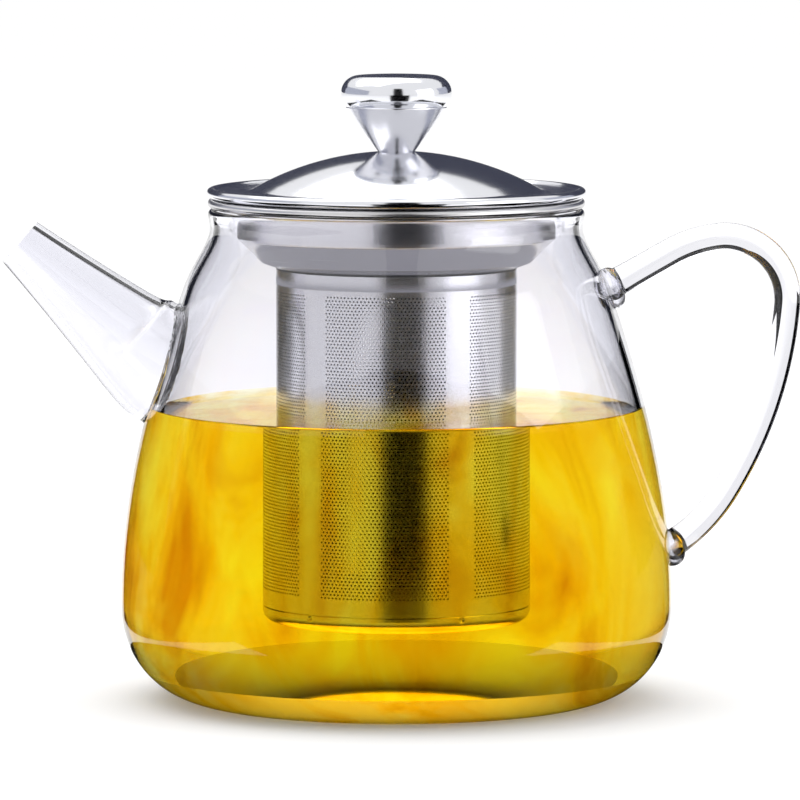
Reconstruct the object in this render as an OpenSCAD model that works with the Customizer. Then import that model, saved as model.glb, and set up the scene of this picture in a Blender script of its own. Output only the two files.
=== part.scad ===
// Glass teapot with a lift-out steel infuser and a lift-off steel lid.
// Millimetres. Origin at the centre of the base's underside, +Z up,
// spout towards -X and handle towards +X.

/* [Glass body] */
// Height of the glass, foot to lip
pot_h = 122.8; // [110:0.1:150]
// Radius of the flat foot
foot_r = 47; // [38:0.5:52]
// Largest outer radius
belly_r = 69; // [62:0.5:84]
// Height of the largest radius
belly_z = 24; // [20:0.5:32]
// How far the shoulder stands out beyond the neck
shoulder_out = 6.8; // [5:0.1:10]
// Shoulder's distance below the lip
shoulder_drop = 20; // [17:0.5:26]
// Inward lean of the wall at the shoulder, radius per height
shoulder_lean = 0.34; // [0.2:0.01:0.5]
// Smallest outer radius, at the neck
neck_r = 46.5; // [45.5:0.1:49]
// Neck's distance below the lip
neck_drop = 4.6; // [3.5:0.1:7]
// How far the lip flares out beyond the neck
lip_flare = 0.5; // [0.2:0.1:1.5]
// Wall of the glass body
glass_wall = 2.2; // [1.6:0.1:3]

/* [Spout] */
// How far the mouth's centre stands out beyond the belly
spout_out = 24.9; // [18:0.1:36]
// Mouth's centre below the lip of the pot
spout_mouth_drop = 8.3; // [4:0.1:16]
// Rise of the spout's axis above level, degrees
spout_rise = 41.7; // [36:0.1:48]
// Outer diameter at the mouth
spout_mouth_d = 13.1; // [10:0.1:17]
// Growth of the radius per millimetre at the mouth
spout_taper = 0.14; // [0.1:0.01:0.17]
// How fast that growth increases towards the root
spout_flare = 0.0013; // [0.0008:0.0001:0.0018]
// Wall of the spout
spout_wall = 1.8; // [1.3:0.1:2.4]

/* [Handle] */
// Diameter of the glass rod
rod_d = 6.8; // [5.6:0.1:8.2]
// Rise of the rod where it leaves the shoulder, degrees
rod_rise = 29.6; // [24:0.1:34]
// How far the rod's middle stands out beyond the belly
handle_out = 28.5; // [24:0.1:36]
// Radius of the gentle bend on top
top_bend_r = 33.5; // [28:0.5:40]
// Turn of the gentle bend, degrees
top_bend_turn = 22; // [18:0.5:26]
// Radius of the outer corner
corner_r = 15.5; // [13:0.5:19]
// Turn of the outer corner, degrees
corner_turn = 102; // [96:0.5:108]
// Turn of the long sweep, degrees
sweep_turn = 27; // [22:0.5:30]
// Height of the lower root
lower_root_z = 37.5; // [31:0.5:45]
// Height above the lower root where the last bend starts
last_bend_h = 14.8; // [11:0.1:18]
// Diameter of the round pad at the upper root
pad_d = 10.7; // [9:0.1:13]
// Thickness of the pad
pad_t = 3.4; // [2.6:0.1:4.2]
// Diameter of the bead at the lower root
bead_d = 8.8; // [8.4:0.1:11]

/* [Infuser] */
// Thickness of the collar's sheet
sheet_t = 0.6; // [0.4:0.1:0.8]
// Radius of the rolled rim's round section
roll_r = 1.2; // [0.9:0.1:1.5]
// How far the collar's flange lies below the top of the rolled rim
collar_drop = 0.2; // [0.1:0.05:0.4]
// Space between the collar's upright wall and the glass neck
collar_gap = 4.6; // [3:0.1:6]
// Depth of the upright wall below the rim
collar_depth = 8.7; // [7:0.1:11]
// Width of the shallow ledge above the tube
ledge_w = 3.9; // [2.5:0.1:5]
// Height of the collar's cone
cone_h = 6; // [5:0.1:8]
// Height of the shallow ledge above the tube
ledge_h = 1.6; // [1.2:0.1:2.4]
// How far the filter tube lies inside the collar's upright wall
tube_in = 9.7; // [8:0.1:13]
// Wall of the filter tube
tube_wall = 0.5; // [0.4:0.1:0.7]
// Length of the collar's neck inside the tube
neck_fit = 4; // [3:0.5:5]
// Space between the infuser and the glass floor
floor_gap = 17.9; // [14:0.1:22]
// Height of the drawn base cap
cap_h = 4; // [3.6:0.1:6]
// Outer corner radius of the base cap
cap_corner = 3; // [2:0.1:3.4]

/* [Lid] */
// How far the lid's rim stands out beyond the infuser's rim
lid_over = 0.35; // [0:0.05:1]
// Width of the flat flange, from the foot of the dome to the rim
flange_w = 10.85; // [9.5:0.05:14]
// Rise of the dome
dome_rise = 9.8; // [8:0.1:12]
// How far the flange lies below the top of the rolled rim
flange_drop = 0.7; // [0.5:0.1:0.9]
// Depth of the locating skirt below the flange
skirt_depth = 8; // [5:0.5:9]
// Width of the skirt's welded flange
skirt_flange = 3.6; // [2.5:0.1:4.5]

/* [Knob] */
// Radius of the knob's neck
knob_neck_r = 4.6; // [4.3:0.1:6]
// Largest radius of the knob
knob_r = 13.8; // [12:0.1:17]
// How far the cone's upper edge lies inside the largest radius
knob_edge_in = 0.6; // [0.3:0.1:1]
// Height of the cone
knob_cone_h = 12; // [10:0.5:15]
// Height of the cap
knob_cap_h = 7.3; // [6.6:0.1:9]
// Corner radius of the cap
knob_corner = 4; // [3:0.1:4.6]
// Crown in the middle of the cap
knob_crown = 0.25; // [0.1:0.05:0.5]
// Wall of the two knob shells
knob_wall = 0.8; // [0.6:0.1:1]
// Height of the threaded insert
insert_h = 7; // [5:0.5:8]
// Radius of the screw's shank
screw_r = 2; // [1.5:0.1:2.2]
// Radius of the screw's head
head_r = 3.8; // [3.2:0.1:4.4]
// Height of the screw's head
head_h = 2.6; // [2:0.1:3]
// Radius of the washer
washer_r = 4.5; // [4.1:0.1:5]
// Thickness of the washer
washer_t = 0.8; // [0.5:0.1:1]

/* [Clearances] */
// Gap between the rolled rim and the glass lip
lip_gap = 0.3; // [0.3:0.05:0.6]
// Gap between the lid's rim and the infuser's rim
rim_gap = 0.2; // [0.2:0.05:0.5]
// Gap round the skirt inside the collar
skirt_gap = 0.5; // [0.4:0.05:0.8]
// Gap round the screw's shank
screw_gap = 0.15; // [0.1:0.05:0.25]
// Gap between the tube's top edge and the ledge
tube_gap = 0.4; // [0.3:0.05:0.6]

/* [Hidden] */
$fn = 96;

// Radii that follow from the sizes above
spout_reach = belly_r + spout_out;
shoulder_r = neck_r + shoulder_out;
lip_r = neck_r + lip_flare;
rim_r = lip_r;
collar_r = neck_r - glass_wall - collar_gap;
tube_r = collar_r - tube_in;
cone_foot_r = tube_r + ledge_w;
lid_r = rim_r + lid_over;
dome_r = lid_r - flange_w;
knob_edge_r = knob_r - knob_edge_in;

// Heights that follow from the sizes above
shoulder_z = pot_h - shoulder_drop;
neck_z = pot_h - neck_drop;
roll_z = pot_h + lip_gap + roll_r;
collar_top_z = roll_z + roll_r - collar_drop - sheet_t / 2;
collar_low_z = roll_z - collar_depth;
cone_foot_z = collar_low_z - cone_h;
ledge_z = cone_foot_z - ledge_h;
basket_z = glass_wall + floor_gap;
lid_roll_z = roll_z + 2 * roll_r + rim_gap;
flange_z = lid_roll_z + roll_r - flange_drop;
neck_mid_r = tube_r - tube_wall - sheet_t / 2;

// The middle of the dome's sheet is a spherical cap with a flat seat for the knob
flange_mid_z = flange_z - sheet_t / 2;
dome_mid_r = (dome_r * dome_r + dome_rise * dome_rise) / (2 * dome_rise);
dome_mid_z = flange_mid_z + dome_rise - dome_mid_r;
seat_margin = 0.5;
seat_angle = acos((knob_neck_r + seat_margin) / dome_mid_r);
seat_mid_z = dome_mid_z + dome_mid_r * sin(seat_angle);
seat_z = seat_mid_z + sheet_t / 2;
under_seat_z = seat_z - sheet_t;
knob_edge_z = seat_z + knob_cone_h;

// Cubic curve from a to d, leaving towards b and arriving from c
function curve(a, b, c, d, n) = [
  for (i = [0:n - 1])
    let (t = i / n, u = 1 - t)
      u * u * u * a + 3 * u * u * t * b + 3 * u * t * t * c + t * t * t * d
];

// Points on an arc
function arc(centre, r, from, to, n) = [
  for (i = [0:n])
    let (angle = from + (to - from) * i / n) centre + r * [cos(angle), sin(angle)]
];

function unit(v) = v / norm(v);
function left_of(v) = [-v[1], v[0]];
function reversed(list) = [for (i = [len(list) - 1:-1:0]) list[i]];

// The line moved sideways by d, positive to the left of its direction
function moved(line, d) = [
  for (i = [0:len(line) - 1])
    let (
      before = unit(line[max(i, 1)] - line[max(i, 1) - 1]),
      after = unit(line[min(i + 1, len(line) - 1)] - line[min(i, len(line) - 2)]),
      middle = unit(left_of(before) + left_of(after))
    )
      line[i] + middle * d / (middle * left_of(before))
];

// Closed section of a sheet whose middle follows the line
function sheet(line, t) = concat(moved(line, t / 2), reversed(moved(line, -t / 2)));

// Outer outline of the glass: foot corner, barrel, shoulder and neck, then flared lip
lean = unit([-shoulder_lean, 1]);
foot_corner = curve(
  [foot_r, 0], [foot_r + 0.55 * (belly_r - foot_r), 0],
  [belly_r, 0.42 * belly_z], [belly_r, belly_z], 12
);
barrel = curve(
  [belly_r, belly_z], [belly_r, belly_z + 0.34 * (shoulder_z - belly_z)],
  [shoulder_r, shoulder_z] - 0.36 * (shoulder_z - belly_z) * lean, [shoulder_r, shoulder_z], 18
);
shoulder = curve(
  [shoulder_r, shoulder_z], [shoulder_r, shoulder_z] + 0.42 * (neck_z - shoulder_z) * lean,
  [neck_r, neck_z - 0.25 * (neck_z - shoulder_z)], [neck_r, neck_z], 12
);
lip_side_z = pot_h - glass_wall / 2;
lip = curve(
  [neck_r, neck_z], [neck_r, neck_z + 0.4 * (lip_side_z - neck_z)],
  [lip_r, lip_side_z - 0.3 * (lip_side_z - neck_z)], [lip_r, lip_side_z], 5
);
outline = concat(foot_corner, barrel, shoulder, lip, [[lip_r, lip_side_z]]);
lining = moved(outline, glass_wall);
lip_round = arc([lip_r - glass_wall / 2, lip_side_z], glass_wall / 2, 0, 180, 8);

// Radius of the body's outer surface at a height
function body_r(z) = lookup(z, [for (p = outline) [p[1], p[0]]]);

// Everything inside the outer surface of the glass
module pot_volume() {
  rotate_extrude() polygon(concat([[0, 0]], outline, [[0, lip_side_z]]));
}

// Spout: a straight axis from the mouth down to inside the wall
spout_mouth = [-spout_reach, 0, pot_h - spout_mouth_drop];
function spout_r(s) = spout_mouth_d / 2 + spout_taper * s + spout_flare * s * s;

// Distance along the axis at which the spout meets the body's outer surface
spout_meets = min([
  for (s = [0:0.5:100])
    if (spout_reach - s * cos(spout_rise) < body_r(spout_mouth[2] - s * sin(spout_rise))) s
]);
spout_sink = 13;
spout_l = spout_meets + spout_sink;

// The hole in the body is a little smaller than the narrow side of the spout's root
hole_margin = 0.5;
spout_hole_r = spout_r(0.8 * spout_meets) - spout_wall - hole_margin;

// Places a child's +Z along the spout's axis, from the mouth towards the pot
module along_spout() {
  translate(spout_mouth) rotate([0, 90 + spout_rise, 0]) children();
}

// Where a clockwise bend starting at p with heading a is, after turning by turn
function bend_at(p, a, r, turn) = p + r * [sin(a) - sin(a - turn), cos(a - turn) - cos(a)];

// Stations [x, z, heading] along a bend, without its start
function bend_stations(p, a, r, turn, n) = [
  for (i = [1:n]) let (t = turn * i / n, q = bend_at(p, a, r, t)) [q[0], q[1], a - t]
];

// Ends of the handle's straight run and bends, as [x, z], with their headings
root_sink = 1.2;
rod_start = [shoulder_r - root_sink, shoulder_z];

// The straight run is as long as the handle's reach needs
top_heading = rod_rise - top_bend_turn;
corner_heading = top_heading - corner_turn;
bends_out = top_bend_r * (sin(rod_rise) - sin(top_heading)) + corner_r * (sin(top_heading) + 1);
rod_run = (belly_r + handle_out - rod_start[0] - bends_out) / cos(rod_rise);
run_end = rod_start + rod_run * [cos(rod_rise), sin(rod_rise)];
top_end = bend_at(run_end, rod_rise, top_bend_r, top_bend_turn);
corner_end = bend_at(top_end, top_heading, corner_r, corner_turn);
sweep_heading = corner_heading - sweep_turn;
sweep_drop = corner_end[1] - lower_root_z - last_bend_h;
sweep_r = sweep_drop / (cos(corner_heading) - cos(sweep_heading));
sweep_end = bend_at(corner_end, corner_heading, sweep_r, sweep_turn);

// The last bend is the one that lands on the lower root
lower_root = [body_r(lower_root_z) - root_sink, lower_root_z];
root_chord = lower_root - sweep_end;
root_turn = 2 * (sweep_heading - atan2(root_chord[1], root_chord[0]));
root_bend_r = norm(root_chord) / (2 * sin(root_turn / 2));

rod_stations = concat(
  [[rod_start[0], rod_start[1], rod_rise], [run_end[0], run_end[1], rod_rise]],
  bend_stations(run_end, rod_rise, top_bend_r, top_bend_turn, 4),
  bend_stations(top_end, top_heading, corner_r, corner_turn, 12),
  bend_stations(corner_end, corner_heading, sweep_r, sweep_turn, 8),
  bend_stations(sweep_end, sweep_heading, root_bend_r, root_turn, 6)
);

// Round rod swept along the stations, one ring of points at each
module rod(stations, d, sides) {
  rings = len(stations);
  points = [
    for (s = stations, k = [0:sides - 1])
      let (turn = 360 * k / sides)
        [s[0], 0, s[1]] + d / 2 * (cos(turn) * [0, 1, 0] + sin(turn) * [-sin(s[2]), 0, cos(s[2])])
  ];
  walls = [
    for (i = [0:rings - 2], k = [0:sides - 1])
      let (j = (k + 1) % sides, low = i * sides, high = low + sides)
        each [[low + k, high + k, high + j], [low + k, high + j, low + j]]
  ];
  first = [for (k = [0:sides - 1]) k];
  last = [for (k = [sides - 1:-1:0]) (rings - 1) * sides + k];
  polyhedron(points = points, faces = concat([first], walls, [last]));
}

module pad_disc() {
  translate([shoulder_r, 0, shoulder_z]) rotate([0, 90 - atan(shoulder_lean), 0])
    translate([0, 0, -pad_t]) cylinder(h = 2 * pad_t, d = pad_d);
}

module bead_ball() {
  translate([body_r(lower_root_z), 0, lower_root_z]) sphere(d = bead_d);
}

module glass_body() {
  color("lavender", 0.4) difference() {
    rotate_extrude() polygon(concat([[0, 0]], outline, lip_round, reversed(lining), [[0, glass_wall]]));
    along_spout() cylinder(h = spout_l, r = spout_hole_r);
  }
}

module spout() {
  steps = 12;
  outer = [for (i = [0:steps]) let (s = spout_l * i / steps) [spout_r(s), s]];
  color("lavender", 0.4) difference() {
    along_spout() rotate_extrude()
      polygon(concat(outer, reversed([for (p = outer) [p[0] - spout_wall, p[1]]])));
    pot_volume();
  }
}

module handle() {
  color("lavender", 0.5) difference() {
    rod(rod_stations, rod_d, 20);
    pot_volume();
    pad_disc();
    bead_ball();
  }
}

module handle_upper_pad() {
  color("lavender", 0.5) difference() {
    pad_disc();
    pot_volume();
  }
}

module handle_lower_bead() {
  color("lavender", 0.5) difference() {
    bead_ball();
    pot_volume();
  }
}

module infuser_collar() {
  wall_mid_r = collar_r - sheet_t / 2;
  middle = [
    [rim_r - roll_r, collar_top_z], [wall_mid_r, collar_top_z], [wall_mid_r, collar_low_z],
    [cone_foot_r - sheet_t / 2, cone_foot_z], [neck_mid_r, ledge_z], [neck_mid_r, ledge_z - neck_fit]
  ];
  color("silver") union() {
    rotate_extrude() translate([rim_r - roll_r, roll_z]) circle(r = roll_r);
    rotate_extrude() polygon(sheet(middle, sheet_t));
  }
}

module filter_tube() {
  low = basket_z + cap_h;
  high = ledge_z - tube_gap;
  color("gainsboro") translate([0, 0, low]) difference() {
    cylinder(h = high - low, r = tube_r);
    translate([0, 0, -1]) cylinder(h = high - low + 2, r = tube_r - tube_wall);
  }
}

module filter_base() {
  centre = [tube_r - cap_corner, basket_z + cap_corner];
  outer = concat([[0, basket_z]], arc(centre, cap_corner, -90, 0, 8), [[tube_r, basket_z + cap_h]]);
  inner = concat(
    [[0, basket_z + tube_wall]], arc(centre, cap_corner - tube_wall, -90, 0, 8),
    [[tube_r - tube_wall, basket_z + cap_h]]
  );
  color("gainsboro") rotate_extrude() polygon(concat(outer, reversed(inner)));
}

module lid_shell() {
  dome_foot_angle = acos(dome_r / dome_mid_r);
  middle = concat(
    [[lid_r - roll_r, flange_mid_z]],
    arc([0, dome_mid_z], dome_mid_r, dome_foot_angle, seat_angle, 20),
    [[screw_r + screw_gap, seat_mid_z]]
  );
  color("silver") union() {
    rotate_extrude() translate([lid_r - roll_r, lid_roll_z]) circle(r = roll_r);
    rotate_extrude() polygon(sheet(middle, sheet_t));
  }
}

module lid_skirt() {
  skirt_mid_r = collar_r - sheet_t - skirt_gap - sheet_t / 2;
  weld_z = flange_z - sheet_t - sheet_t / 2;
  middle = [
    [skirt_mid_r + skirt_flange, weld_z], [skirt_mid_r, weld_z], [skirt_mid_r, weld_z - skirt_depth]
  ];
  color("silver") rotate_extrude() polygon(sheet(middle, sheet_t));
}

module knob_cap() {
  top_z = knob_edge_z + knob_cap_h - knob_crown;
  centre = [knob_r - knob_corner, top_z - knob_corner];
  outer = concat(
    [[knob_edge_r, knob_edge_z]], arc(centre, knob_corner, 0, 90, 10), [[0, top_z + knob_crown]]
  );
  inner = concat(
    [[knob_edge_r - knob_wall, knob_edge_z]], arc(centre, knob_corner - knob_wall, 0, 90, 10),
    [[0, top_z + knob_crown - knob_wall]]
  );
  color("silver") rotate_extrude() polygon(concat(outer, reversed(inner)));
}

module knob_cone() {
  color("silver") rotate_extrude() polygon([
    [knob_neck_r, seat_z], [knob_edge_r, knob_edge_z],
    [knob_edge_r - knob_wall, knob_edge_z], [knob_neck_r - knob_wall, seat_z]
  ]);
}

module knob_insert() {
  lean_out = (knob_edge_r - knob_neck_r) / knob_cone_h;
  plug_r = knob_neck_r - knob_wall;
  bore_r = screw_r + screw_gap;
  color("dimgray") rotate_extrude() polygon([
    [bore_r, seat_z], [plug_r, seat_z],
    [plug_r + lean_out * insert_h, seat_z + insert_h], [bore_r, seat_z + insert_h]
  ]);
}

module knob_screw() {
  head_top_z = under_seat_z - washer_t;
  slot_w = 1;
  slot_l = 4.4;
  slot_depth = 1.3;
  color("dimgray") difference() {
    union() {
      translate([0, 0, head_top_z - head_h]) cylinder(h = head_h, r = head_r);
      translate([0, 0, head_top_z]) cylinder(h = seat_z + insert_h - head_top_z, r = screw_r);
    }
    for (turn = [0, 90])
      translate([0, 0, head_top_z - head_h]) rotate([0, 0, turn])
        cube([slot_l, slot_w, 2 * slot_depth], center = true);
  }
}

module knob_washer() {
  color("gray") translate([0, 0, under_seat_z - washer_t]) difference() {
    cylinder(h = washer_t, r = washer_r);
    translate([0, 0, -1]) cylinder(h = washer_t + 2, r = screw_r + screw_gap);
  }
}

glass_body();
spout();
handle();
handle_upper_pad();
handle_lower_bead();
infuser_collar();
filter_tube();
filter_base();
lid_shell();
lid_skirt();
knob_cap();
knob_cone();
knob_insert();
knob_screw();
knob_washer();
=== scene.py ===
"""Looks of a lampworked glass teapot with a steel infuser and lid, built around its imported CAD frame.

Shapes are worked out in millimetres as whole arrays and put into meshes in metres.
"""

import math

import bpy
import numpy as np
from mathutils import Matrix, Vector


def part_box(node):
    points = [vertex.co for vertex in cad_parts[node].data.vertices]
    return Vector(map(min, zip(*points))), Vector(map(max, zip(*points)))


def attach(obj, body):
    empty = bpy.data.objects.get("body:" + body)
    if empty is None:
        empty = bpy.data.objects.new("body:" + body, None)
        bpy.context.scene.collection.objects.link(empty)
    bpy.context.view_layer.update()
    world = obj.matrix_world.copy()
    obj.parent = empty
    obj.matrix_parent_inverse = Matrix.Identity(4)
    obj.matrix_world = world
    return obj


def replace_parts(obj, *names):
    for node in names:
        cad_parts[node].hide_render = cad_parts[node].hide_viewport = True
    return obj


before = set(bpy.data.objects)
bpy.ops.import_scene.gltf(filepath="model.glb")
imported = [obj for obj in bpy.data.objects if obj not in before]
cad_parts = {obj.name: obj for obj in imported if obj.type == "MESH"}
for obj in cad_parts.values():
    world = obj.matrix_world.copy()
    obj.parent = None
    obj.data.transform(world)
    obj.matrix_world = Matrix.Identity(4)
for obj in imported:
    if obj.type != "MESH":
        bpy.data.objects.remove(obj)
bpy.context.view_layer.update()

MM = 0.001


def span(node):
    """Lowest and highest corner of a CAD node, in millimetres."""
    low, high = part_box(node)
    return np.array(low) / MM, np.array(high) / MM


# ---------------------------------------------------------------- sizes, in millimetres and degrees

# Blown body
BODY_HIGH = span("glass_body")[1]
POT_H = BODY_HIGH[2]
BELLY_R = BODY_HIGH[0]
BELLY_Z = 24.0
FOOT_R = 47.0
SHOULDER_DROP = 20.0
SHOULDER_OUT = 6.8
SHOULDER_LEAN = 0.34
NECK_R = 46.5
NECK_DROP = 4.6
LIP_FLARE = 0.5
GLASS_WALL = 2.2
BASE_UNEVEN_TO = 8.5
# Share of each curve's width or height that its handle points reach, at its two ends
FOOT_PULL = (0.55, 0.42)
BARREL_PULL = (0.34, 0.36)
SHOULDER_PULL = (0.42, 0.25)
LIP_PULL = (0.4, 0.3)
# A face above this share of the wall's thickness isn't on the underside
INSIDE_FROM = 0.6
LIP_R = NECK_R + LIP_FLARE
SHOULDER_R = NECK_R + SHOULDER_OUT
SHOULDER_Z = POT_H - SHOULDER_DROP
NECK_Z = POT_H - NECK_DROP
LIP_SIDE_Z = POT_H - GLASS_WALL / 2

# Spout: its axis runs down from the mouth at the rise angle
SPOUT_MOUTH = np.array([-(BELLY_R + 24.9), POT_H - 8.3])
SPOUT_RISE = 41.7
SPOUT_MOUTH_R = 6.55
SPOUT_TAPER = 0.14
SPOUT_FLARE = 0.0008
SPOUT_WALL = 1.8
# Towards the pot its upper side lifts into a small fillet, and its lower side tucks in
SPOUT_LIFT = 1.2
SPOUT_LIFT_AT = 37.9
SPOUT_LIFT_L = 1.2
SPOUT_TUCK = 2.65
SPOUT_TUCK_AT = 52.3
SPOUT_TUCK_L = 3.6
SPOUT_MEETS = 46.5
# Along the axis, past the point where it meets the pot: how far the tube and its bore run on
TUBE_BEYOND = 12.0
BORE_BEYOND = 14.0
# The body's cutter starts this far before that point, and the tube's own cutter before the mouth
BORE_INSIDE = 14.0
BORE_BEFORE_MOUTH = 1.5
# The tube is trimmed this far inside the outline, so the two pieces of glass fuse
FUSE = 0.3

# Handle: a bent rod from the shoulder pad to the lower bead
ROD_R = 3.4
ROD_RISE = 29.6
HANDLE_OUT = 28.5
TOP_BEND = (33.5, 22.0)
CORNER_BEND = (15.5, 102.0)
SWEEP_TURN = 27.0
LAST_BEND_H = 14.8
LOWER_ROOT_Z = 37.5
ROOT_SINK = 1.2
# The rod swells by this share at each end, and the swelling dies away over this length
ROD_SWELL = 0.16
ROD_SWELL_L = 3.5
PAD_R = 5.35
PAD_T = 3.4
BEAD_R = 4.4
BEAD_T = 3.96
BUTTON_POWER = 2.6

# Steel sheet parts
SHEET_T = 0.6
ROLL_R = 1.2
COLLAR_HIGH = span("infuser_collar")[1]
RIM_R = COLLAR_HIGH[0]
ROLL_Z = COLLAR_HIGH[2] - ROLL_R
COLLAR_R = NECK_R - GLASS_WALL - 4.6
COLLAR_DEPTH = 8.7
CONE_H = 6.0
LEDGE_H = 1.6
LEDGE_W = 3.9
COLLAR_NECK_H = 4.0
COLLAR_FOLDS = (1.2, 1.0, 0.9, 0.6)
TUBE_LOW, TUBE_HIGH = span("filter_tube")
TUBE_R = TUBE_HIGH[0]
TUBE_WALL = 0.5
BASE_LOW, BASE_HIGH = span("filter_base")
BASE_CORNER = 3.0
# The cap's upper edge is rounded off over this width, with one point between
BASE_EDGE = 0.2
BASE_EDGE_MID = (0.06, 0.05)
LID_LOW, LID_HIGH = span("lid_shell")
LID_R = LID_HIGH[0]
FLANGE_W = 10.85
FLANGE_DROP = 0.7
DOME_RISE = 9.8
HUB_HOLE_R = 2.15
# The step from the roll down to the flange: where it starts, its upright part and where it ends
LID_STEP = (0.3, 0.8, 1.4)
LID_FOOT_R = 3.0
LID_FOOT_TURN = 3
CONE_LOW = span("knob_cone")[0]
CAP_HIGH = span("knob_cap")[1]
KNOB_NECK_R = 4.6
KNOB_WALL = 0.8
KNOB_CORNER = 4.4
KNOB_CROWN = 0.25
KNOB_SEAM_R = 12.7
KNOB_SEAM_Z = 148.3
KNOB_SEAM = 0.18
# Handle points of the cap's side curve and of its crown, and the corner arc's turn
KNOB_SIDE_PULL = (0.6, 0.9, 1.2)
KNOB_CROWN_PULL = (-2.5, 0.16)
KNOB_CROWN_FLAT = 4.0
KNOB_CORNER_TURN = 86

# Perforation: five panels of small staggered holes with plain strips between them
PANELS = 5
FRONT_PANEL_AT = -95.75
PANEL_SPAN = 60.0
HOLES_ACROSS = 33
STRIP_STEPS = 3
HOLE_R = 0.245
FIRST_HOLES_UP = 8.0
LAST_HOLES_DOWN = 4.6
ROW_PITCH = 0.83

# Dimples pressed into the base cap under the plain strips
DIMPLE_UP = 3.1
DIMPLE_R = 0.55
DIMPLE_DEPTH = 0.4

# Tea
TEA_LEVEL = 72.3
TEA_INTO_GLASS = 0.1
MENISCUS_H = 1.1
MENISCUS_W = 1.3
# Width of the fine grid by the glass
MENISCUS_GRID = 6.0

# The floor meets the underside of the glass, so the base looks wet against it
FLOOR_Z = 0.00005

# Grid density
ROUND = 288
BASE_ROUND = 720
BUTTON_ROUND = 64
ROD_ROUND = 64
SPOUT_ROUND = 96
SPOUT_STATIONS = 120
CURVE_STEPS = 36
# A profile point nearer the axis than this is a pole
AXIS_R = 1e-9


# ---------------------------------------------------------------- outlines


def curve(a, b, c, d, steps=CURVE_STEPS):
    """Cubic Bezier curve from a to d, leaving towards b and arriving from c, without its end."""
    t = (np.arange(steps) / steps)[:, None]
    u = 1 - t
    a, b, c, d = (np.asarray(p, float) for p in (a, b, c, d))
    return u**3 * a + 3 * u**2 * t * b + 3 * u * t**2 * c + t**3 * d


def arc(centre, radius, start, end, steps=12):
    """Points at equal angles on a circle, from the start angle to the end angle in degrees."""
    angle = np.radians(np.linspace(start, end, steps + 1))
    return np.asarray(centre, float) + radius * np.stack([np.cos(angle), np.sin(angle)], axis=1)


def moved(line, distance):
    """The line moved sideways, positive to its left: each point goes along the mean of its two normals."""
    steps = np.diff(line, axis=0)
    steps /= np.linalg.norm(steps, axis=1)[:, None]
    left = np.stack([-steps[:, 1], steps[:, 0]], axis=1)
    before = np.vstack([left[:1], left])
    after = np.vstack([left, left[-1:]])
    middle = before + after
    middle /= np.linalg.norm(middle, axis=1)[:, None]
    return line + middle * (distance / np.sum(middle * before, axis=1))[:, None]


def rounded(corners, radii, steps=8):
    """A polyline whose inner corners are arcs: each arc is tangent to the two legs that meet there."""
    corners = np.asarray(corners, float)
    parts = [corners[:1]]
    for before, corner, after, radius in zip(corners, corners[1:], corners[2:], radii):
        to_before = (before - corner) / np.linalg.norm(before - corner)
        to_after = (after - corner) / np.linalg.norm(after - corner)
        half = math.acos(np.clip(to_before @ to_after, -1, 1)) / 2
        start = corner + to_before * radius / math.tan(half)
        end = corner + to_after * radius / math.tan(half)
        middle = to_before + to_after
        centre = corner + middle / np.linalg.norm(middle) * radius / math.sin(half)
        first = math.degrees(math.atan2(*(start - centre)[::-1]))
        turn = math.degrees(math.atan2(*(end - centre)[::-1])) - first
        turn = (turn + 180) % 360 - 180
        parts.append(arc(centre, radius, first, first + turn, steps))
    return np.vstack(parts + [corners[-1:]])


def sheet(middle, thickness=SHEET_T):
    """Closed section of a sheet of one thickness whose middle follows a line."""
    return np.vstack([moved(middle, -thickness / 2), moved(middle, thickness / 2)[::-1]])


def body_outline():
    """Outer side of the blown body: foot corner, barrel, shoulder and neck, then the flared lip."""
    lean = np.array([-SHOULDER_LEAN, 1]) / math.hypot(SHOULDER_LEAN, 1)
    barrel_h = SHOULDER_Z - BELLY_Z
    shoulder_h = NECK_Z - SHOULDER_Z
    lip_h = LIP_SIDE_Z - NECK_Z
    shoulder_point = np.array([SHOULDER_R, SHOULDER_Z])
    foot = curve(
        [FOOT_R, 0],
        [FOOT_R + FOOT_PULL[0] * (BELLY_R - FOOT_R), 0],
        [BELLY_R, FOOT_PULL[1] * BELLY_Z],
        [BELLY_R, BELLY_Z],
    )
    barrel = curve(
        [BELLY_R, BELLY_Z],
        [BELLY_R, BELLY_Z + BARREL_PULL[0] * barrel_h],
        shoulder_point - BARREL_PULL[1] * barrel_h * lean,
        shoulder_point,
    )
    shoulder = curve(
        shoulder_point,
        shoulder_point + SHOULDER_PULL[0] * shoulder_h * lean,
        [NECK_R, NECK_Z - SHOULDER_PULL[1] * shoulder_h],
        [NECK_R, NECK_Z],
    )
    lip = curve(
        [NECK_R, NECK_Z],
        [NECK_R, NECK_Z + LIP_PULL[0] * lip_h],
        [LIP_R, LIP_SIDE_Z - LIP_PULL[1] * lip_h],
        [LIP_R, LIP_SIDE_Z],
        8,
    )
    return np.vstack([foot, barrel, shoulder, lip, [[LIP_R, LIP_SIDE_Z]]])


OUTLINE = body_outline()


def body_r(height):
    """Radius of the body's outer side at a height."""
    return np.interp(height, OUTLINE[:, 1], OUTLINE[:, 0])


# ---------------------------------------------------------------- meshes


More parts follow.
